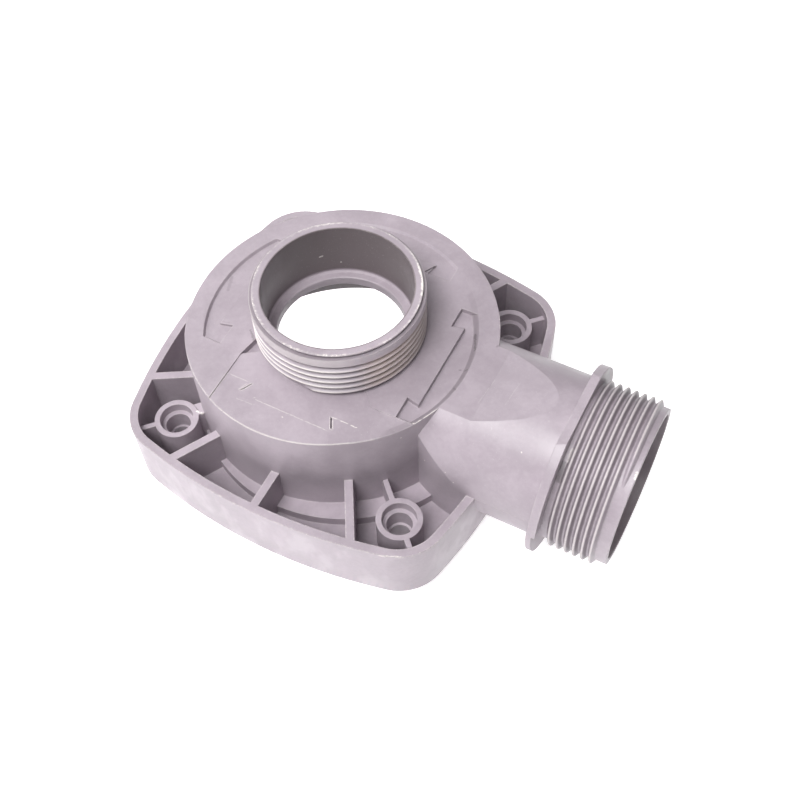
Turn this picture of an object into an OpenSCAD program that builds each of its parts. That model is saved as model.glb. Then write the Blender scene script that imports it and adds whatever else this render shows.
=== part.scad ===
// Pump housing, the wet end of a small centrifugal pump, moulded in one piece.
// Square flange with four screw bosses, an open volute drum, an inlet neck on top and an outlet neck to the side.
// Origin on the inlet axis, in the plane of the mounting face. +Z is the way the inlet points, +X the outlet.

/* [Flange] */

// distance from the axis to the middle of each side
flange_half = 53.9; // [50:0.1:60]
// radius the sides bulge with
side_bulge_r = 164.4; // [140:0.2:220]
// radius of the rounded corners
corner_r = 14.6; // [11:0.1:18]
// height of the rim over the mounting face
rim_h = 20.6; // [17:0.1:26]
// thickness of the rim wall
rim_wall = 2.45; // [2:0.05:3.5]
// thickness of the floor inside the rim
floor_t = 5.2; // [4.6:0.1:7]

/* [Screw bosses] */

// distance between neighbouring screw axes
screw_spacing = 72.5; // [68:0.1:75]
// radius of a boss
boss_r = 6.45; // [6:0.05:7.5]
// height of the bosses and gussets over the mounting face
boss_h = 17.4; // [14:0.1:18.5]
// radius of the seat for the screw head
head_r = 4.85; // [4.3:0.05:5]
// depth of the seat for the screw head
head_depth = 3.1; // [2:0.1:4]
// radius of the step below the seat
throat_r = 3.6; // [3.3:0.05:3.9]
// depth of the step below the boss top
throat_depth = 8.9; // [6:0.1:9.6]
// radius of the screw hole
screw_r = 2.9; // [2:0.05:3.1]

/* [Ribs] */

// width of the radial ribs
rib_w = 2.4; // [1.8:0.1:3]
// width of the gussets on the diagonals
gusset_w = 1.5; // [1.2:0.1:2.4]
// angle from one rib position to the next
rib_step = 30; // [30]
// width of the wider block behind the gusset at the left boss
block_w = 3.4; // [2.5:0.1:4]
// how much lower that block is than the gusset
block_drop = 0.3; // [0.2:0.1:1]

/* [Volute] */

// outer radius of the drum on its wide side, and of the round step at its foot
drum_r = 44; // [43:0.1:45]
// outer radius of the drum on its narrow side
narrow_r = 40.97; // [40:0.05:41.5]
// how far the narrow side is set back from the axis
narrow_back = 3.86; // [3.4:0.02:4.2]
// outer radius of the drum next to the outlet
throat_side_r = 38.5; // [38.4:0.05:39]
// height of the drum's top over the mounting face
drum_h = 39.56; // [38.8:0.02:42]
// height of the round step at the foot of the drum
foot_h = 8.45; // [8.2:0.05:9.5]
// thickness of the drum's wall
drum_wall = 3.4; // [2.6:0.1:3.6]
// thickness of the drum's roof
roof_t = 3.7; // [3.4:0.05:4.8]

/* [Seal seat] */

// radius of the round seat in the mounting face
seat_r = 46.4; // [46.2:0.05:46.8]
// depth of that seat
seat_depth = 2.2; // [1.6:0.1:2.4]
// radius where the seal cone starts
cone_r = 44.5; // [44:0.1:45]
// height over the mounting face where the seal cone ends
cone_top = 7; // [6.4:0.1:7.2]

/* [Inlet] */

// bore radius of the inlet
inlet_bore_r = 20.75; // [20:0.05:21]
// height of the inlet's lip over the mounting face
inlet_top = 56.7; // [55:0.1:62]
// outer radius of the lip's edge
lip_r = 23; // [22.6:0.05:23.4]
// thickness of the lip's edge
lip_t = 0.5; // [0.3:0.1:0.8]
// radius at the bottom of the groove under the lip
lip_groove_r = 22.1; // [21.8:0.05:22.4]
// height of that groove
lip_groove_h = 0.6; // [0.5:0.1:0.9]
// height of the plain band between that groove and the thread
band_h = 2.8; // [2:0.1:3.2]
// radius of the eye in the drum's roof
eye_r = 18.3; // [17:0.05:19]
// height of the ledge around the eye, over the mounting face
ledge_h = 38.7; // [38:0.05:39.2]
// height of the top thread crest over the mounting face
inlet_first = 50.5; // [50:0.1:51]
// number of thread turns on the inlet
inlet_turns = 5; // [2:1:5]

/* [Outlet] */

// height of the outlet's axis over the mounting face
outlet_z = 19.9; // [19.4:0.1:20.4]
// distance from the inlet axis to the outlet's end
outlet_end = 89.5; // [89:0.1:110]
// outer radius of the tube, upper half
tube_r = 23.35; // [23.1:0.05:23.6]
// how much smaller the tube's lower half is
mould_step = 0.3; // [0.2:0.05:0.5]
// bore radius of the outlet
outlet_bore_r = 20.75; // [20:0.05:21]
// bore radius of the outlet inside the flange
outlet_throat_r = 16; // [13:0.1:16.2]
// radius of the plain neck and of the thread's root
neck_r = 22.42; // [22.3:0.02:22.6]
// radius of the collar
collar_r = 27.2; // [25:0.1:30]
// distance from the inlet axis to the collar's near face
collar_x = 68.7; // [66:0.1:70]
// thickness of the collar
collar_t = 2.5; // [2:0.1:3.5]
// how much thinner the collar's lower half is
collar_step = 1; // [0.5:0.1:1.2]
// distance from the inlet axis to the first thread crest
outlet_first = 73.4; // [73.2:0.1:75]
// number of thread turns on the outlet
outlet_turns = 6; // [2:1:6]
// distance from the inlet axis where the flat over the tube starts to rise
ramp_x = 45.6; // [44:0.1:48]
// rise of the ramp for each millimetre along the outlet
ramp_slope = 0.2; // [0.16:0.01:0.26]
// radius of the bend where the outlet wall leaves the drum
bend_r = 34.4; // [32:0.1:37]
// distance from the inlet axis where that bend ends
bend_x = 50; // [48:0.1:51]

/* [Threads] */

// thread crest radius, one and a half inch pipe thread
thread_r = 23.9; // [23.9]
// distance from crest to crest
pitch = 2.309; // [2.309]

/* [Recesses on top] */

// distance from the axis to a recess's straight inner edge
recess_in = 31.2; // [30.5:0.1:31.8]
// outer radius of the recess beside the outlet
recess_r = 38.2; // [37.8:0.05:38.3]
// outer radius of the recess opposite the outlet and of the one behind the inlet
recess_back_r = 38.7; // [38.2:0.1:39]
// outer radius of the recess on the drum's narrow side
recess_narrow_r = 36.9; // [36:0.1:37.2]
// how much a recess's outer wall leans for each millimetre of depth
recess_lean = 1.05; // [0.6:0.05:1.2]
// half the length of a recess
recess_half = 20.1; // [18:0.1:21]
// distance from the axis to the end pads' inner edge
pad_in = 27.5; // [27:0.1:28]
// length of an end pad
pad_len = 6.9; // [5:0.1:8]
// depth of the recess beside the outlet
recess_depth = 1.5; // [1:0.1:1.8]
// depth of the recess opposite the outlet
recess_left_depth = 0.9; // [0.6:0.1:1.2]
// depth of the recess behind the inlet
recess_mid_depth = 0.6; // [0.4:0.1:0.9]
// depth of the recess on the drum's narrow side
recess_small_depth = 0.3; // [0.2:0.05:0.5]
// how much lower the front quarter of the drum's top lies
quarter_drop = 0.3; // [0.2:0.05:0.5]
// depth of the slits beside the pads
slit_depth = 1.3; // [0.8:0.1:1.8]

/* [Hidden] */

$fn = 96;
half_spacing = screw_spacing / 2;
corner_c = bulge_corner(flange_half, side_bulge_r, corner_r);
rib_angles = [for (k = [2 : 10]) if (k * rib_step % 90 != 45) k * rib_step];
neck_x = collar_x + collar_t;
bend_y = bend_r - tube_r;
roof_z = drum_h - roof_t;
block_x = flange_half - 1.9;
tooth_w = 1.95;
crest_w = 0.55;

// The corner arcs touch the bulged sides, so their centre follows from the two radii.
function bulge_corner(h, rs, rc) = let (a = rs - h, d = rs - rc) (sqrt(2 * d * d - a * a) - a) / 2;

// Plan of the flange, drawn in by a margin.
module flange_plan(inset) {
    h = flange_half - inset;
    rs = side_bulge_r - inset;
    rc = corner_r - inset;
    c = corner_c;
    k = (c + side_bulge_r - flange_half) / (side_bulge_r - corner_r);
    cut = h - rs + k * rs + c * rs / (side_bulge_r - corner_r);
    intersection() {
        translate([h - rs, 0]) circle(r = rs, $fn = 360);
        translate([rs - h, 0]) circle(r = rs, $fn = 360);
        translate([0, h - rs]) circle(r = rs, $fn = 360);
        translate([0, rs - h]) circle(r = rs, $fn = 360);
        rotate(45) square(cut * sqrt(2), center = true);
    }
    for (x = [-c, c], y = [-c, c]) translate([x, y]) circle(r = rc + 0.03);
}

// Plan of the drum: round about the axis, with its narrow side set back, as a volute that widens towards the outlet.
module drum_plan(inset) {
    intersection() {
        circle(r = drum_r - inset);
        union() {
            translate([-narrow_back, 0.5]) circle(r = narrow_r - inset);
            circle(r = throat_side_r - inset);
            polygon([[0, 0], [90, -25.8], [90, 90], [-90, 90], [-90, -36.4]]);
        }
    }
}

// Plan of the outlet block: straight towards +Y, and bent in towards the drum on the other side.
module outlet_plan() {
    translate([20, -tube_r]) difference() {
        square([block_x - 20, 2 * tube_r]);
        translate([-1, -1]) square([bend_x - 19, tube_r]);
    }
    intersection() {
        translate([20, -tube_r]) square([bend_x - 20, tube_r + 1]);
        translate([bend_x, bend_y]) circle(r = bend_r, $fn = 180);
    }
}

module round_x(r, x0, x1) {
    translate([x0, 0, outlet_z]) rotate([0, 90, 0]) cylinder(r = r, h = x1 - x0);
}

module ribs() {
    intersection() {
        linear_extrude(rim_h) flange_plan(rim_wall / 2);
        union() {
            for (a = rib_angles) rotate(a)
                translate([narrow_r - 6, -rib_w / 2, floor_t - 1]) cube([30, rib_w, rim_h - floor_t + 1]);
            for (a = [45 : 90 : 315]) rotate(a)
                translate([narrow_r - 4, -gusset_w / 2, floor_t - 1]) cube([30, gusset_w, boss_h - floor_t + 1]);
            rotate(225) translate([narrow_r, -block_w, floor_t - 1])
                cube([half_spacing * sqrt(2) - narrow_r, block_w, boss_h - block_drop - floor_t + 1]);
        }
    }
}

module flange() {
    difference() {
        linear_extrude(rim_h) flange_plan(0);
        translate([0, 0, floor_t]) linear_extrude(rim_h) flange_plan(rim_wall);
    }
    for (x = [-1, 1], y = [-1, 1])
        translate([x * half_spacing, y * half_spacing, floor_t - 1]) cylinder(r = boss_r, h = boss_h - floor_t + 1);
    ribs();
}

module drum() {
    translate([0, 0, 1]) linear_extrude(drum_h - 1) drum_plan(0);
    translate([0, 0, 1]) cylinder(r = drum_r + 0.05, h = foot_h - 1);
}

// Tube: round above its axis, straight walls down to the flange floor, and round all over beyond the flange.
module outlet_body() {
    intersection() {
        translate([0, 0, 1]) linear_extrude(drum_h + 10) outlet_plan();
        union() {
            round_x(tube_r, 0, 60);
            translate([0, -tube_r - 1, 0]) cube([60, 2 * tube_r + 2, outlet_z]);
        }
    }
    difference() {
        union() {
            round_x(tube_r - mould_step, bend_x, collar_x + 1);
            intersection() {
                round_x(tube_r, bend_x, collar_x + 1);
                translate([bend_x, -50, rim_h]) cube([50, 100, 50]);
            }
        }
        translate([0, 0, -30]) linear_extrude(30) flange_plan(0);
    }
    difference() {
        round_x(collar_r, collar_x, neck_x);
        translate([neck_x - collar_step, -50, rim_h - 50]) cube([10, 100, 50]);
    }
    round_x(neck_r, collar_x + 0.5, outlet_end);
    outlet_thread();
}

// What the flat over the tube takes off: level with the drum's top at first, then rising to the top of the tube.
module over_tube() {
    translate([0, -50, 0]) rotate([-90, 0, 0]) mirror([0, 1, 0]) linear_extrude(100)
        polygon([[20, drum_h], [ramp_x, drum_h], [ramp_x + 30, drum_h + 30 * ramp_slope],
                 [ramp_x + 30, drum_h + 20], [20, drum_h + 20]]);
}

// One turn of thread, as a closed ring about the Z axis.
module crest() {
    rotate_extrude() polygon([[neck_r - 1, -tooth_w / 2], [neck_r, -tooth_w / 2], [thread_r, -crest_w / 2],
                              [thread_r, crest_w / 2], [neck_r, tooth_w / 2], [neck_r - 1, tooth_w / 2]]);
}

module outlet_thread() {
    for (k = [0 : outlet_turns - 1]) translate([outlet_first + k * pitch, 0, outlet_z]) rotate([0, 90, 0]) crest();
}

// Inlet neck: the thread's root, its turns, and above them the plain band, the groove and the lip.
module inlet_neck() {
    flank = (tooth_w - crest_w) / 2;
    band_top = inlet_top - lip_t - lip_groove_h;
    rotate_extrude() polygon([[eye_r - 1, drum_h - 3], [neck_r, drum_h - 3], [neck_r, band_top - band_h - flank],
                              [thread_r, band_top - band_h], [thread_r, band_top], [lip_groove_r, band_top - flank],
                              [lip_groove_r, inlet_top - lip_t], [lip_r, inlet_top - lip_t], [lip_r, inlet_top],
                              [eye_r - 1, inlet_top]]);
    for (k = [0 : inlet_turns - 1]) translate([0, 0, inlet_first - k * pitch]) crest();
}

// Chamber for the impeller, open at the mounting face, with the seat and the cone for the seal plate.
module chamber() {
    translate([0, 0, -1]) linear_extrude(roof_z + 1) drum_plan(drum_wall);
    rotate_extrude() polygon([[0, -1], [seat_r, -1], [seat_r, seat_depth], [cone_r, seat_depth],
                              [drum_r - drum_wall, cone_top], [0, cone_top]]);
}

module inlet_passage() {
    rotate_extrude() polygon([[0, roof_z - 1], [eye_r, roof_z - 1], [eye_r, ledge_h - 0.35],
                              [eye_r + 0.3, ledge_h - 0.1], [inlet_bore_r - 0.5, ledge_h],
                              [inlet_bore_r, ledge_h + 0.5], [inlet_bore_r, inlet_top + 1], [0, inlet_top + 1]]);
}

module outlet_passage() {
    translate([0, 0, outlet_z]) rotate([0, 90, 0])
        rotate_extrude() polygon([[0, 24], [outlet_throat_r, 24], [outlet_throat_r, 48], [outlet_bore_r, 60],
                                  [outlet_bore_r, outlet_end + 1], [0, outlet_end + 1]]);
}

module screw_hole() {
    translate([0, 0, -1]) cylinder(r = screw_r, h = boss_h + 2);
    translate([0, 0, boss_h - throat_depth]) cylinder(r = throat_r, h = throat_depth + 1);
    translate([0, 0, boss_h - head_depth]) cylinder(r = head_r, h = head_depth + 1);
}

// One bracket-shaped recess: a segment behind a straight edge, with a square pad at each end.
module recess_plan() {
    intersection() {
        translate([pad_in, -recess_half]) square([30, 2 * recess_half]);
        union() {
            translate([recess_in, -recess_half]) square([30, 2 * recess_half]);
            for (m = [0, 1]) mirror([0, m])
                polygon([[pad_in, recess_half + 1], [pad_in, recess_half - pad_len],
                         [recess_in + 0.2, recess_half - pad_len + 1], [recess_in + 0.2, recess_half + 1]]);
        }
    }
}

module recess(a, r, depth, lean) {
    intersection() {
        rotate(a) translate([0, 0, drum_h - depth]) linear_extrude(depth + 1) recess_plan();
        translate([0, 0, drum_h - depth - 1]) cylinder(r1 = r - (depth + 1) * lean, r2 = r + 1.5 * lean, h = depth + 2.5);
    }
}

// Narrow slit beside a pad, where the moulded insert ended.
module slit(a, m, w) {
    y = recess_half - pad_len - w / 2;
    rotate(a) mirror([0, m]) translate([0, 0, drum_h - slit_depth]) linear_extrude(slit_depth + 1)
        polygon([[pad_in + 0.2, y - 0.9], [recess_in - 0.4, y + 0.8],
                 [recess_in - 0.4, y + 0.8 + w], [pad_in + 0.2, y - 0.9 + w]]);
}

// Front quarter of the drum's top, bounded by the two diagonals and the lines from their ends.
module front_quarter() {
    translate([0, 0, drum_h - quarter_drop]) linear_extrude(quarter_drop + 1)
        polygon([[0, 0], [-20.3, -20.3], [-20.3, -60], [60, -60], [60, -20.3], [20.3, -20.3]]);
    translate([0, 0, drum_h - 2]) linear_extrude(3)
        polygon([[-18.65, -11.7], [-14.7, -16.48], [-20.3, -20.4]]);
}

// All that is sunk into the flat top of the drum.
module top_cuts() {
    recess(0, recess_r, recess_depth, recess_lean);
    recess(90, recess_back_r, recess_mid_depth, recess_lean);
    recess(180, recess_back_r, recess_left_depth, recess_lean / 2);
    recess(270, recess_narrow_r, recess_small_depth, recess_lean);
    front_quarter();
    slit(270, 0, 0.5);
    slit(270, 1, 0.3);
    slit(90, 1, 0.45);
}

module pump_housing() {
    color([0.72, 0.69, 0.72])
    difference() {
        union() {
            difference() {
                union() {
                    flange();
                    drum();
                    difference() {
                        outlet_body();
                        over_tube();
                    }
                }
                top_cuts();
            }
            inlet_neck();
        }
        chamber();
        inlet_passage();
        outlet_passage();
        for (x = [-1, 1], y = [-1, 1]) translate([x * half_spacing, y * half_spacing, 0]) screw_hole();
    }
}

pump_housing();
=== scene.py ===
"""Looks of the pump housing: the moulding with its true threads, the plastic, a pale floor and studio light."""

import math
from types import SimpleNamespace

import bmesh
import bpy
from mathutils import Matrix, Vector


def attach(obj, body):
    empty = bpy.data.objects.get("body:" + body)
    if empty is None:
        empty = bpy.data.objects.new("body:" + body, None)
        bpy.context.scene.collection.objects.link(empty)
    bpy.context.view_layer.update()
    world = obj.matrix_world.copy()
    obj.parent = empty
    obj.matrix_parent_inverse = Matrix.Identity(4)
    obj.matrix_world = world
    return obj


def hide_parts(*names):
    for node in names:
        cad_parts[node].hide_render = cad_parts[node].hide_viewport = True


MM = 0.001

# Sizes of the part, in millimetres. The rings are the straight thread rings of the construction.
PITCH = 2.309
ROOT_R = 22.42
CREST_R = 23.9
OUTLET_Z = 19.9
FLANGE_HALF = 53.9
COLLAR_X = 69.9
COLLAR_DROP = 7.3
INLET_RINGS = 5
OUTLET_RINGS = 6
LAST_INLET_RING = 50.5
FIRST_OUTLET_RING = 73.4
FIRST_OUTLET_TURN = 73.45
HALF_RING = 0.975
LEDGE_R = 22.1
LEDGE_Z = 54.9
FLAT_LEDGE_Z = 55.45

# Section of the helical thread as (radius, height), from its foot inside the neck over the crest and back
THREAD_FOOT = 21.9
THREAD_SECTION = (
    (THREAD_FOOT, -1.25), (22.35, -0.99), (23.72, -0.3), (23.86, -0.17),
    (CREST_R, 0.0), (23.86, 0.17), (23.72, 0.3), (22.35, 0.99), (THREAD_FOOT, 1.25),
)
STEPS_PER_TURN = 96
FADED = 0.12

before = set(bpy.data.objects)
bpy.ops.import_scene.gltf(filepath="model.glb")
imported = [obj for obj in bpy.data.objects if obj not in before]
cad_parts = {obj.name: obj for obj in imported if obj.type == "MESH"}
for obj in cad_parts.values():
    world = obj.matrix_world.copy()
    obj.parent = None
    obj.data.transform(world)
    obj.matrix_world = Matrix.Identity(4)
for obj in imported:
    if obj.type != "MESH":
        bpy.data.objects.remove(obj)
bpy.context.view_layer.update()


# Modelling helpers

def only(o):
    """Select one object alone and make it the active one."""
    bpy.ops.object.select_all(action="DESELECT")
    o.select_set(True)
    bpy.context.view_layer.objects.active = o


def pick(o, group, test):
    """In edit mode, select the edges or faces of o that pass the test, and nothing else. Says how many did."""
    bpy.ops.mesh.select_mode(type={"edges": "EDGE", "faces": "FACE"}[group])
    bpy.ops.mesh.select_all(action="DESELECT")
    bm = bmesh.from_edit_mesh(o.data)
    found = [item for item in getattr(bm, group) if test(item)]
    for item in found:
        item.select_set(True)
    bmesh.update_edit_mesh(o.data)
    return len(found)


def apply_all(o):
    """Apply every modifier of o."""
    only(o)
    for m in list(o.modifiers):
        bpy.ops.object.modifier_apply(modifier=m.name)


def from_inlet(co):
    """Distance from the inlet's axis, and height, in millimetres."""
    return math.hypot(co.x, co.y) / MM, co.z / MM


def from_outlet(co):
    """Distance from the outlet's axis, and way along it, in millimetres."""
    return math.hypot(co.y, co.z - OUTLET_Z * MM) / MM, co.x / MM


# The moulded shell

def plain_neck(o, place, first, rings):
    """Take the straight thread rings off a neck and close the gap with the plain root."""
    low = first - HALF_RING - 0.02
    high = first + (rings - 1) * PITCH + HALF_RING + 0.02

    def on_rings(f):
        return all(ROOT_R - 0.1 < r < CREST_R + 0.1 and low < h < high
                   for r, h in (place(v.co) for v in f.verts))

    def open_edge(e):
        return e.is_boundary and all(abs(place(v.co)[0] - ROOT_R) < 0.1 for v in e.verts)

    pick(o, "faces", on_rings)
    bpy.ops.mesh.delete(type="FACE")
    if pick(o, "edges", open_edge):
        bpy.ops.mesh.bridge_edge_loops()


def thread(name, turns, start, fade_in, fade_out):
    """A right-handed thread about Z, from z = 0 upwards. start is the angle of its start in degrees, and the
    fades are the parts of a turn over which its ends run out into the root."""
    bpy.ops.object.select_all(action="DESELECT")
    bpy.ops.mesh.primitive_circle_add(vertices=len(THREAD_SECTION), radius=1 * MM, location=(0, 0, 0))
    o = bpy.context.active_object
    o.name = name
    for v, (r, h) in zip(o.data.vertices, THREAD_SECTION):
        v.co = (r * MM, 0, h * MM)
    screw = o.modifiers.new("turns", "SCREW")
    screw.angle = math.tau * turns
    screw.screw_offset = PITCH * MM * turns
    screw.steps = screw.render_steps = round(STEPS_PER_TURN * turns)
    screw.use_merge_vertices = False
    apply_all(o)
    for v in o.data.vertices:
        r = math.hypot(v.co.x, v.co.y) / MM
        turned = math.atan2(v.co.y, v.co.x) / math.tau
        along = turned + round(v.co.z / MM / PITCH - turned)
        f = min(1.0, max(along, 0) / fade_in, max(turns - along, 0) / fade_out)
        f = f * f * (3 - 2 * f)
        new = THREAD_FOOT + (r - THREAD_FOOT) * (FADED + (1 - FADED) * f)
        v.co.x *= new / r
        v.co.y *= new / r
    o.data.transform(Matrix.Rotation(math.radians(start), 4, "Z"))
    only(o)
    bpy.ops.object.mode_set(mode="EDIT")
    pick(o, "edges", lambda e: e.is_boundary)
    bpy.ops.mesh.fill_holes(sides=0)
    bpy.ops.mesh.select_all(action="SELECT")
    bpy.ops.mesh.normals_make_consistent(inside=False)
    bpy.ops.object.mode_set(mode="OBJECT")
    return o


def grow(o, other):
    """Unite o with another closed solid, which is used up."""
    union = o.modifiers.new("join", "BOOLEAN")
    union.operation = "UNION"
    union.solver = "EXACT"
    union.object = other
    apply_all(o)
    bpy.data.objects.remove(other)


def shell():
    """The whole moulding: the construction's own solid, with helical threads in place of the rings and the
    ledge under the inlet's lip made flat."""
    o = bpy.data.objects.new("moulded_shell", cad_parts["pump_housing"].data.copy())
    bpy.context.scene.collection.objects.link(o)
    first_inlet_ring = LAST_INLET_RING - (INLET_RINGS - 1) * PITCH
    only(o)
    bpy.ops.object.mode_set(mode="EDIT")
    bpy.ops.mesh.customdata_custom_splitnormals_clear()
    bpy.ops.mesh.select_all(action="SELECT")
    bpy.ops.mesh.remove_doubles(threshold=1e-6)
    plain_neck(o, from_inlet, first_inlet_ring, INLET_RINGS)
    plain_neck(o, from_outlet, FIRST_OUTLET_RING, OUTLET_RINGS)
    bpy.ops.mesh.select_all(action="SELECT")
    bpy.ops.mesh.normals_make_consistent(inside=False)
    bpy.ops.object.mode_set(mode="OBJECT")

    for v in o.data.vertices:
        r, h = from_inlet(v.co)
        if abs(r - LEDGE_R) < 0.1 and abs(h - LEDGE_Z) < 0.05:
            v.co.z = FLAT_LEDGE_Z * MM

    # Each helix starts a part of a turn, here in degrees of 360, before the first ring's place
    inlet = thread("inlet_turns", 4.69, -98, fade_in=0.06, fade_out=0.3)
    inlet_start = (first_inlet_ring - PITCH * 42 / 360) * MM
    inlet.data.transform(Matrix.Translation((0, 0, inlet_start)))
    grow(o, inlet)

    outlet = thread("outlet_turns", 6.486, -40, fade_in=0.12, fade_out=0.1)
    outlet_start = (FIRST_OUTLET_TURN - PITCH * 170 / 360) * MM
    z_along_x = Matrix(((0, 0, 1, 0), (1, 0, 0, 0), (0, 1, 0, 0), (0, 0, 0, 1)))
    outlet.data.transform(Matrix.Translation((outlet_start, 0, OUTLET_Z * MM)) @ z_along_x)
    grow(o, outlet)

    only(o)
    bpy.ops.object.shade_smooth_by_angle(angle=math.radians(10))
    return o


# Shader maths

def is_vector(v):
    return isinstance(v, tuple) or isinstance(v, Socket) and v.out.type in ("VECTOR", "RGBA")


class Socket:
    """A shader value or vector that adds Math or Vector Math nodes when it is used in an expression."""

    def __init__(self, look, out):
        self.look = look
        self.out = out

    def join(self, operation, a, b):
        """A node of two inputs. A vector times a value is scaled, which needs less of the renderer's stack."""
        if operation == "MULTIPLY" and is_vector(a) != is_vector(b):
            vector, factor = (a, b) if is_vector(a) else (b, a)
            return self.look.node("ShaderNodeVectorMath", {"operation": "SCALE"}, vector, Scale=factor)
        kind = "ShaderNodeVectorMath" if is_vector(a) or is_vector(b) else "ShaderNodeMath"
        return self.look.node(kind, {"operation": operation}, a, b)

    def __add__(self, b): return self.join("ADD", self, b)
    def __radd__(self, b): return self.join("ADD", b, self)
    def __sub__(self, b): return self.join("SUBTRACT", self, b)
    def __rsub__(self, b): return self.join("SUBTRACT", b, self)
    def __mul__(self, b): return self.join("MULTIPLY", self, b)
    def __rmul__(self, b): return self.join("MULTIPLY", b, self)
    def __truediv__(self, b): return self.join("DIVIDE", self, b)
    def __rtruediv__(self, b): return self.join("DIVIDE", b, self)
    def __pow__(self, b): return self.join("POWER", self, b)

    def dot(self, b): return self.join("DOT_PRODUCT", self, b)
    def highest(self, b): return self.join("MAXIMUM", self, b)

    def of(self, operation):
        """A function of one value, such as its absolute value or square root."""
        return self.look.node("ShaderNodeMath", {"operation": operation}, self)

    def length(self):
        return self.look.node("ShaderNodeVectorMath", {"operation": "LENGTH"}, self)

    def limit(self):
        return self.look.node("ShaderNodeClamp", {}, self, 0.0, 1.0)

    def ramp(self, low, high, to_low=0.0, to_high=1.0):
        """Smooth step from to_low at low to to_high at high."""
        return self.look.node("ShaderNodeMapRange", {"interpolation_type": "SMOOTHSTEP", "clamp": True},
                              self, low, high, to_low, to_high)

    def band(self, centre, half):
        """One at centre, falling to nought at half on either side."""
        return (self - centre).of("ABSOLUTE").ramp(0.0, half, 1.0, 0.0)


class Look:
    """A material and the one way to add nodes to it."""

    def __init__(self, name):
        self.material = bpy.data.materials.new(name)
        self.material.use_nodes = True
        self.tree = self.material.node_tree
        self.surface = self.tree.nodes["Principled BSDF"]

    def feed(self, socket, value):
        """Link a Socket, or set a number or colour."""
        if isinstance(value, Socket):
            self.tree.links.new(value.out, socket)
        elif hasattr(socket.default_value, "__len__"):
            size = len(socket.default_value)
            value = tuple(value) if hasattr(value, "__len__") else (value,) * size
            socket.default_value = (value + (1.0,))[:size] if size == 4 else value[:size]
        else:
            socket.default_value = value

    def node(self, kind, settings, *values, out=None, **named):
        """A node with its settings, then its inputs in order or by name. out names an output but the first."""
        n = self.tree.nodes.new(kind)
        for key, value in settings.items():
            setattr(n, key, value)
        for socket, value in zip([s for s in n.inputs if s.enabled], values):
            self.feed(socket, value)
        for key, value in named.items():
            self.feed(n.inputs[key.replace("_", " ")], value)
        return Socket(self, n.outputs[out] if out else [s for s in n.outputs if s.enabled][0])

    def mix(self, factor, a, b):
        return self.node("ShaderNodeMix", {"data_type": "RGBA"}, factor, a, b)

    def noise(self, place, scale, detail=3.0, rough=0.5, distortion=0.0):
        return self.node("ShaderNodeTexNoise", {"noise_dimensions": "3D"}, place,
                         Scale=scale, Detail=detail, Roughness=rough, Distortion=distortion)

    def set(self, **values):
        """Feed the surface shader's own inputs."""
        for key, value in values.items():
            self.feed(self.surface.inputs[key.replace("_", " ")], value)

    def streak(self, place, a, b, half):
        """A soft line from a to b, in millimetres."""
        way = tuple(q - p for p, q in zip(a, b))
        span = max(sum(w * w for w in way), 1e-6)
        off = place - a
        along = (off.dot(way) / span).limit()
        return (off - along * way).length().ramp(half * 0.35, half, 1.0, 0.0)

    def streaks(self, place, table):
        """All the lines of a table of (from, to, half width, strength) as one mask."""
        total = 0.0
        for a, b, half, strength in table:
            total = total + self.streak(place, a, b, half) * strength
        return total.limit()


# The plastic, its wear, and painted shade, light, shadows and highlights. Places are in millimetres.

PLASTIC = (0.322, 0.276, 0.311), (0.398, 0.343, 0.386)
# Painted shade inside the bores
BORE_SHADE = (0.105, 0.083, 0.083)
# Painted shade inside the chamber
CHAMBER_SHADE = (0.05, 0.042, 0.04)
# Painted shade in the thread roots, on the ledge under the lip and on a recess's slope
RECESS_SHADE = (0.075, 0.066, 0.066)
# Painted light: a lighter, browner tint
BROWN = (0.60, 0.48, 0.40)
# Painted shadow lines
SHADOW_LINE_COLOUR = (0.07, 0.062, 0.062)
# Paler colour of wear and of painted highlights
WEAR_AND_HIGHLIGHT = (0.80, 0.76, 0.72)
RUBBED = (0.66, 0.62, 0.65)
GRIT = (0.62, 0.58, 0.60)

BORE_EDGE = (20.9, 21.2)
TOP_Z = 39.3
RIM_Z = 20.6
SOFT_EDGE = 0.35 * MM
WORN_EDGE = 0.8 * MM
BUMP = 0.1 * MM

# Scratches, burrs and pale spots, each as from, to, half width and strength, with one painted highlight among
# them
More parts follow.
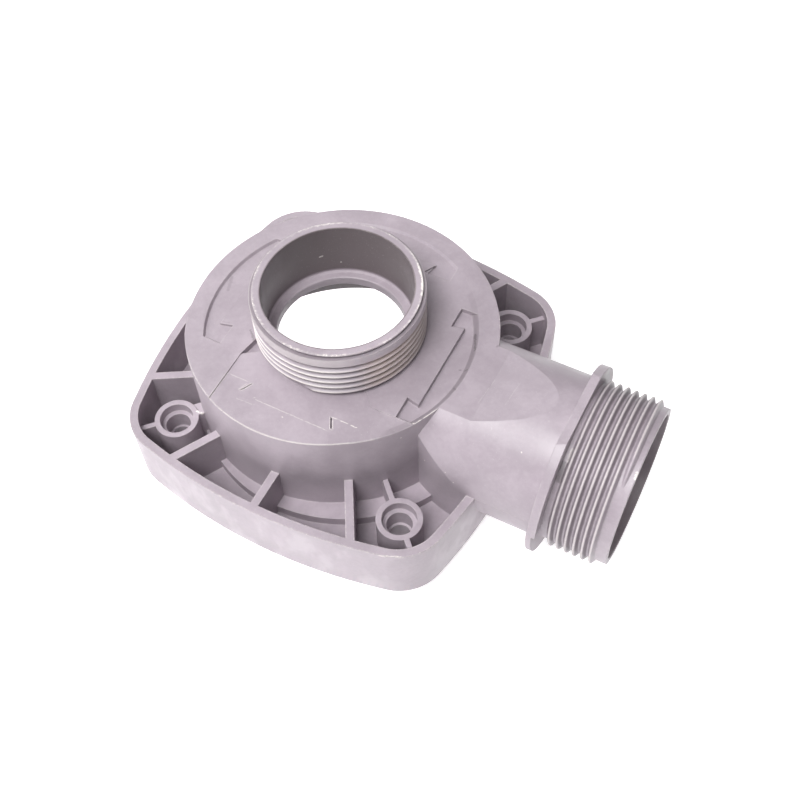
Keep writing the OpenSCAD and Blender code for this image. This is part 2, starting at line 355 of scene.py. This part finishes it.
PALE_MARKS = (
    ((-20.8, -27.6, 39.3), (-13.3, -27.6, 39.3), 0.15, 0.35),
    ((-13.3, -27.6, 39.3), (-14.6, -30.8, 39.3), 0.15, 0.35),
    ((-13.8, -33.7, 39.3), (-8.2, -33.4, 39.3), 0.15, 0.25),
    ((-9.3, -31.8, 39.2), (13.6, -31.8, 39.2), 0.16, 0.55),
    ((12.8, -27.5, 39.3), (19.8, -27.5, 39.3), 0.2, 0.8),
    ((31.2, -19.4, 38.9), (32.6, -19.9, 39.6), 0.5, 1.0),
    ((33.1, -19.6, 39.6), (36.2, -13.1, 39.6), 0.25, 0.8),
    ((40.2, 18.3, 39.56), (38.0, 22.4, 39.56), 0.3, 0.5),
    ((44.9, -6.7, 39.56), (45.8, 2.0, 39.6), 0.15, 0.16),
    ((51.7, -4.9, 40.8), (52.4, 3.1, 40.95), 0.15, 0.14),
    ((51.4, -12.3, 39.8), (51.3, -19.9, 32.0), 0.15, 0.2),
    ((52.0, -23.0, 20.5), (68.4, -23.0, 20.5), 0.22, 0.8),
    # Painted highlight on the outlet's neck by the collar
    ((72.6, -9.6, 40.2), (72.9, -12.2, 38.7), 0.9, 0.6),
    ((-32.3, -31.5, 17.4), (-30.3, -31.4, 17.2), 0.45, 1.0),
    ((89.2, -8.8, 40.4), (89.4, -10.2, 39.8), 0.6, 1.0),
    ((16.5, -16.0, 56.6), (16.9, -16.7, 39.6), 0.16, 0.5),
    ((35.9, -20.3, 23.8), (35.9, -20.3, 24.0), 0.3, 1.0),
    ((43.1, -22.5, 26.2), (43.2, -22.5, 26.3), 0.3, 0.9),
    ((45.7, -23.0, 23.8), (45.8, -23.0, 23.8), 0.25, 0.9),
    ((30.6, -23.3, 35.9), (30.6, -23.3, 36.0), 0.28, 0.9),
    ((60.7, -14.7, 38.0), (60.8, -14.7, 38.0), 0.3, 1.0),
    ((-9.4, -31.5, 39.3), (-9.2, -31.5, 39.3), 0.3, 1.0),
    ((0.5, -33.4, 39.3), (0.6, -33.4, 39.3), 0.28, 0.9),
    ((-14.5, 14.8, 46.0), (-14.1, 15.2, 46.1), 0.4, 0.9),
    ((-9.9, 18.2, 42.6), (-9.8, 18.3, 42.6), 0.35, 0.7),
    ((75.0, -23.8, 24.0), (82.0, -23.8, 21.5), 0.22, 0.8),
    ((76.5, -23.8, 21.5), (84.5, -23.8, 18.8), 0.22, 0.7),
    ((36.2, -50.2, 20.4), (42.6, -47.4, 20.5), 0.3, 0.9),
    ((15.9, 16.4, 56.7), (19.2, 12.4, 56.7), 0.5, 0.9),
    ((19.4, 12.4, 56.6), (21.8, 7.2, 56.6), 0.6, 1.0),
    ((-16.2, 16.2, 56.7), (-9.7, 20.8, 56.7), 0.35, 0.5),
)
# Painted shadows, each as from, to, half width and strength: thin dark lines along the edges and walls of the
# recesses and a notch, and the shadow on the outlet's neck under the collar
DARK_MARKS = (
    ((-32.3, -13.5, 39.56), (-31.4, 2.4, 39.56), 0.16, 0.45),
    ((-32.3, -13.5, 39.56), (-29.0, -12.8, 39.56), 0.16, 0.3),
    ((-27.6, -13.5, 39.56), (-28.0, -20.3, 39.56), 0.16, 0.4),
    ((34.4, 14.0, 38.5), (36.7, 8.9, 39.2), 0.5, 0.8),
    ((35.6, 1.8, 38.1), (37.6, 2.0, 39.0), 0.4, 0.7),
    ((37.6, -5.5, 39.4), (36.5, -4.0, 38.6), 0.4, 0.6),
    ((12.2, -27.7, 38.9), (13.4, -30.1, 38.2), 0.25, 0.9),
    ((40.8, 17.4, 38.0), (41.7, 12.2, 39.56), 0.35, 0.5),
    ((-37.7, 2.3, 38.7), (-36.1, -2.3, 38.7), 0.7, 0.35),
    ((-22.0, -12.4, 39.56), (-19.4, -15.0, 39.56), 0.5, 0.6),
    ((71.6, -13.3, 38.0), (72.2, -16.2, 35.4), 1.4, 0.9),
)


def painted_shade_and_light(k, at, colour):
    """Painted shade in the bores and chamber, in the threads' roots, under the lip and on the right recess's
    slope, a painted lighter, browner tint on the right of the inlet's thread, and painted shadow lines."""
    x, y, z, r, out_r = at.x, at.y, at.z, at.r, at.out_r
    # Painted shade: the insides of the inlet's and outlet's bores are darkened, the inlet's most on its far
    # wall
    bore = r.ramp(*BORE_EDGE, 1.0, 0.0) * z.ramp(TOP_Z, TOP_Z + 0.9)
    bore = bore * (y + at.flow * 8.0 - 4.0).ramp(-12.0, 16.0, 0.6, 0.95)
    bore = bore.highest(out_r.ramp(*BORE_EDGE, 0.5, 0.0) * x.ramp(60.0, 66.0))
    colour = k.mix(bore * 0.85, colour, BORE_SHADE)
    # Painted shade: the chamber under the top and the cone at its foot are painted near black
    reach = y.ramp(-5.2, -4.8, 37.2, 40.75)
    chamber = z.ramp(34.8, 35.6, 1.0, 0.0) * z.ramp(2.5, 3.5) * (reach - r).ramp(-0.2, 0.2)
    cone = z.ramp(7.2, 7.4, 1.0, 0.0) * z.ramp(0.1, 0.5) * r.ramp(43.2, 43.5, 1.0, 0.0)
    colour = k.mix(chamber.highest(cone) * 0.8, colour, CHAMBER_SHADE)

    # Painted shade: the roots of both threads, the ledge under the inlet's lip and the right recess's sloped
    # wall are darkened, the inlet's roots more towards the right and front
    inlet_root = r.ramp(22.3, 23.75, 1.0, 0.0) * r.ramp(22.0, 22.3) * z.band(46.2, 6.2) ** 0.3
    outlet_flanks = out_r.band(23.15, 0.8) * x.band(78.8, 7.8) ** 0.3
    ledge = r.ramp(22.0, 22.2) * r.ramp(23.74, 23.88, 1.0, 0.0)
    ledge = ledge * z.ramp(55.2, 55.35) * z.ramp(55.9, 56.1, 1.0, 0.0)
    slope = r.ramp(36.5, 36.8) * r.ramp(38.2, 38.4, 1.0, 0.0) * z.band(38.7, 1.0) ** 0.4 * x.ramp(26.0, 28.0)
    recess_shade = inlet_root * (x * 0.5 - y).ramp(8.0, 22.0, 0.55, 0.85)
    recess_shade = recess_shade + outlet_flanks * 0.5 + ledge * 0.3 + slope * 0.3
    colour = k.mix(recess_shade, colour, RECESS_SHADE)

    # Painted light: the right side of the inlet's thread is tinted lighter and browner
    brown = r.band(23.0, 1.6) * z.ramp(40.0, 42.0) * z.ramp(52.0, 54.0, 1.0, 0.0) * x.ramp(14.0, 20.0)
    colour = k.mix(brown * 0.5, colour, BROWN)
    # Painted shadows along these lines
    dark = k.streaks(at.place + (at.fine - 0.5) * 1.2, DARK_MARKS)
    return k.mix(dark * 0.6, colour, SHADOW_LINE_COLOUR)


def wear_and_highlight_mask(k, at, shaken_place):
    """Where the plastic is scratched or paled by wear, with painted highlights mixed in: the pale marks, one of
    them a painted highlight, the chipped lip, the drum's front edge, the rim, the threads' crests, partly a
    painted highlight, and, faintly, every other edge, partly a painted edge highlight."""
    x, y, z, r, fine = at.x, at.y, at.z, at.r, at.fine
    pale = k.streaks(shaken_place, PALE_MARKS) * fine.ramp(0.3, 0.55, 0.35, 1.0)
    wide = k.node("ShaderNodeBevel", {"samples": 4}, WORN_EDGE)
    plain = k.node("ShaderNodeNewGeometry", {}, out="Normal")
    edge = (1.0 - wide.dot(plain)).ramp(0.03, 0.22)
    chips = k.noise(at.place, 1.3, 4.0, 0.7).ramp(0.47, 0.6)
    patches = k.noise(at.place, 0.16, 1.0).ramp(0.42, 0.6)
    lip = (r + (fine - 0.5) * 1.4).ramp(22.2, 22.9) * z.ramp(56.3, 56.6)
    lip = lip * (patches * 0.75 + 0.25) * chips.ramp(0.0, 1.0, 0.3, 1.0)
    front = edge * z.band(TOP_Z, 1.2) * y.ramp(-30.0, -26.0, 1.0, 0.0) * x.ramp(30.0, 33.0, 1.0, 0.0)
    front = front * (x - 2.0).of("ABSOLUTE").ramp(9.0, 20.0, 2.2, 0.9)
    rim = edge * z.band(RIM_Z, 0.9) * (chips * 0.5 + 0.2)
    # Wear and painted highlight: the threads' crests are paler, on the inlet most on its front left, where the
    # highlight falls
    crest = r.ramp(23.55, 23.85) * r.ramp(23.95, 24.0, 1.0, 0.0) * z.ramp(40.0, 41.0)
    crest = crest * (x * -0.6 - y).ramp(4.0, 20.0, 0.15, 0.75) * z.ramp(51.8, 53.0, 1.0, 0.35)
    crest = crest.highest(at.out_r.ramp(23.6, 23.85) * x.ramp(71.5, 72.5) * 0.4)
    wear_and_highlight = lip.highest(front * fine.ramp(0.3, 0.6, 0.5, 1.0)).highest(rim).highest(pale)
    # Every other edge is made faintly paler, partly as wear and partly as a painted edge highlight
    return wear_and_highlight.highest(edge * 0.2 * at.flow.ramp(0.4, 0.6)).highest(crest).limit()


def grey_plastic():
    """Glass-filled grey plastic with flow marks, fine grain, painted shade, light and shadows, paler edges from
    wear and painted highlights, scratches and specks.
    """
    k = Look("grey_plastic_look")
    place = k.node("ShaderNodeTexCoord", {}, out="Object") * (1.0 / MM)
    parts = k.tree.nodes.new("ShaderNodeSeparateXYZ")
    k.tree.links.new(place.out, parts.inputs[0])
    x, y, z = (Socket(k, s) for s in parts.outputs)
    r = (x * x + y * y).of("SQRT")
    fine = k.noise(place, 0.9, 3.0, 0.6)
    grit = k.noise(place, 2.2, 2.0, 0.6)
    flow = k.noise(place, 0.14, 3.0, 0.55, 0.6)
    tone = (k.noise(place, 0.045, 2.0) * 0.45 + flow * 0.35 + fine * 0.2).ramp(0.36, 0.66)
    colour = k.mix(tone, *PLASTIC)
    out_r = (y * y + (z - OUTLET_Z) * (z - OUTLET_Z)).of("SQRT")
    at = SimpleNamespace(place=place, x=x, y=y, z=z, r=r, out_r=out_r, fine=fine, flow=flow)

    colour = painted_shade_and_light(k, at, colour)
    wear_and_highlight = wear_and_highlight_mask(k, at, place + (fine - 0.5) * 0.9)
    # Wear and painted highlights in a paler colour
    colour = k.mix(wear_and_highlight * 0.9, colour, WEAR_AND_HIGHLIGHT)
    rubbed = k.noise(place * (1.0, 1.0, 0.55), 0.11, 3.0, 0.6).ramp(0.46, 0.66) * z.ramp(17.0, 20.0, 1.0, 0.0)
    rubbed = rubbed * (x * x).highest(y * y).ramp(46.0 ** 2, 50.0 ** 2) * x.ramp(54.2, 55.0, 1.0, 0.0)
    colour = k.mix(rubbed * 0.25, colour, RUBBED)
    colour = k.mix(grit.ramp(0.66, 0.74) * 0.22, colour, GRIT)

    k.set(Base_Color=colour, Roughness=flow.ramp(0.25, 0.75, 0.34, 0.5) + wear_and_highlight * 0.2)
    soft = k.node("ShaderNodeBevel", {"samples": 4}, SOFT_EDGE)
    scratch = k.noise(place * (0.25, 1.6, 0.6), 1.0, 2.0, 0.6)
    height = grit * 0.35 + fine * 0.35 + scratch * 0.3
    k.set(Normal=k.node("ShaderNodeBump", {}, 0.14, BUMP, Height=height, Normal=soft))
    return k.material


# Camera, as it stood for the photograph

RIGHT = Vector((0.87382, 0.48175, -0.06617))
UP = Vector((-0.36436, 0.73877, 0.56698))
BACK = Vector((0.32202, -0.47132, 0.82107))
EYE = Vector((0.10771, -0.16051, 0.28737))
SENSOR_WIDTH = 36.0
LENS = 50.715
SHIFT = (0.0718, -0.0151)


def place_camera():
    """The photograph's camera: its place, turn, lens and the shift of its picture."""
    data = bpy.data.cameras.new("camera")
    data.sensor_width = SENSOR_WIDTH
    data.lens = LENS
    data.shift_x, data.shift_y = SHIFT
    data.clip_start = 0.01
    camera = bpy.data.objects.new("camera", data)
    bpy.context.scene.collection.objects.link(camera)
    turn = Matrix((RIGHT, UP, BACK)).transposed().to_4x4()
    camera.matrix_world = Matrix.Translation(EYE) @ turn
    bpy.context.scene.camera = camera


# Floor and light. Lamps are given as place, width and power, in metres and watts.

FLOOR_SIZE = 1.8
FLOOR_GAP = 0.05 * MM
PAPER = (0.9, 0.9, 0.9)
FLOOR_GLOW = 0.55
# Painted light: a patch on the floor under the part that glows brighter than the floor
GLOW_PATCH_STRENGTH = 0.6
GLOW_PATCH_SIZE = 68 * MM
GLOW_PATCH_LIFT = 0.02 * MM
GLOW_PATCH_PLACE = (31.9 * MM, 31.0 * MM, 0.0)
WORLD_GLOW = 0.06
WORLD_SEEN = 1.0
LAMPS = {
    "high_front": ((0.0, -0.45, 0.9), 0.6, 11.5),
    "high_left": ((-0.45, 0.0, 0.9), 0.6, 1.7),
    "front_left": ((-0.6, -0.6, 0.6), 0.45, 2.0),
    "left": ((-0.9, -0.2, 0.4), 0.6, 2.7),
    "back_left": ((-0.6, 0.6, 0.6), 0.6, 1.7),
    "back_right": ((0.6, 0.6, 0.6), 0.6, 1.3),
}


def paper(name, size, place):
    """A square of pale paper at a place on the tilted floor, and its look, which glows a little."""
    bpy.ops.object.select_all(action="DESELECT")
    bpy.ops.mesh.primitive_plane_add(size=size, location=(0, 0, 0))
    o = bpy.context.active_object
    o.name = name
    low_edge = Matrix.Translation((-FLANGE_HALF * MM, 0, -FLOOR_GAP))
    tilt = Matrix.Rotation(math.atan2(COLLAR_DROP, COLLAR_X + FLANGE_HALF), 4, "Y")
    o.matrix_world = low_edge @ tilt @ Matrix.Translation(place)
    pale = Look(name + "_look")
    pale.set(Base_Color=PAPER, Roughness=0.9, Emission_Color=(1.0, 1.0, 1.0), Emission_Strength=FLOOR_GLOW)
    o.data.materials.append(pale.material)
    return pale


def floor():
    """A pale floor that touches the collar and the far edge of the flange, as the part lies when it is put
    down, and on it a patch that glows brighter where the picture looks through the part: painted light that
    whitens the floor seen through the part and lights its insides from below."""
    paper("floor", FLOOR_SIZE, (0, 0, 0))
    # Painted light: the patch's brighter glow, full within 24 mm of its middle and gone at 32 mm
    card = paper("card", GLOW_PATCH_SIZE, Vector(GLOW_PATCH_PLACE) + Vector((0, 0, GLOW_PATCH_LIFT)))
    from_middle = card.node("ShaderNodeTexCoord", {}, out="Object").length()
    card.set(Emission_Strength=from_middle.ramp(24 * MM, 32 * MM, 1.0, 0.0) * GLOW_PATCH_STRENGTH + FLOOR_GLOW)


def lamp(name, place, size, power):
    """A round soft light that faces the part."""
    data = bpy.data.lights.new(name, "AREA")
    data.shape = "DISK"
    data.size = size
    data.energy = power
    o = bpy.data.objects.new(name, data)
    o.location = place
    o.rotation_euler = (-Vector(place)).to_track_quat("-Z", "Y").to_euler()
    bpy.context.scene.collection.objects.link(o)


def light():
    """Soft lamps round the part, and a backdrop that is white to look at and gives almost no light."""
    world = bpy.data.worlds.new("studio")
    world.use_nodes = True
    tree = world.node_tree
    back = tree.nodes["Background"]
    back.inputs["Color"].default_value = (1, 1, 1, 1)
    rays = tree.nodes.new("ShaderNodeLightPath")
    seen = tree.nodes.new("ShaderNodeMapRange")
    seen.inputs["To Min"].default_value = WORLD_GLOW
    seen.inputs["To Max"].default_value = WORLD_SEEN
    tree.links.new(rays.outputs["Is Camera Ray"], seen.inputs["Value"])
    tree.links.new(seen.outputs["Result"], back.inputs["Strength"])
    bpy.context.scene.world = world
    for name, (place, size, power) in LAMPS.items():
        lamp(name, place, size, power)
    bpy.context.scene.view_settings.view_transform = "Standard"


place_camera()
moulded = shell()
moulded.data.materials.clear()
moulded.data.materials.append(grey_plastic())
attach(moulded, "root")
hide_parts("pump_housing")
floor()
light()
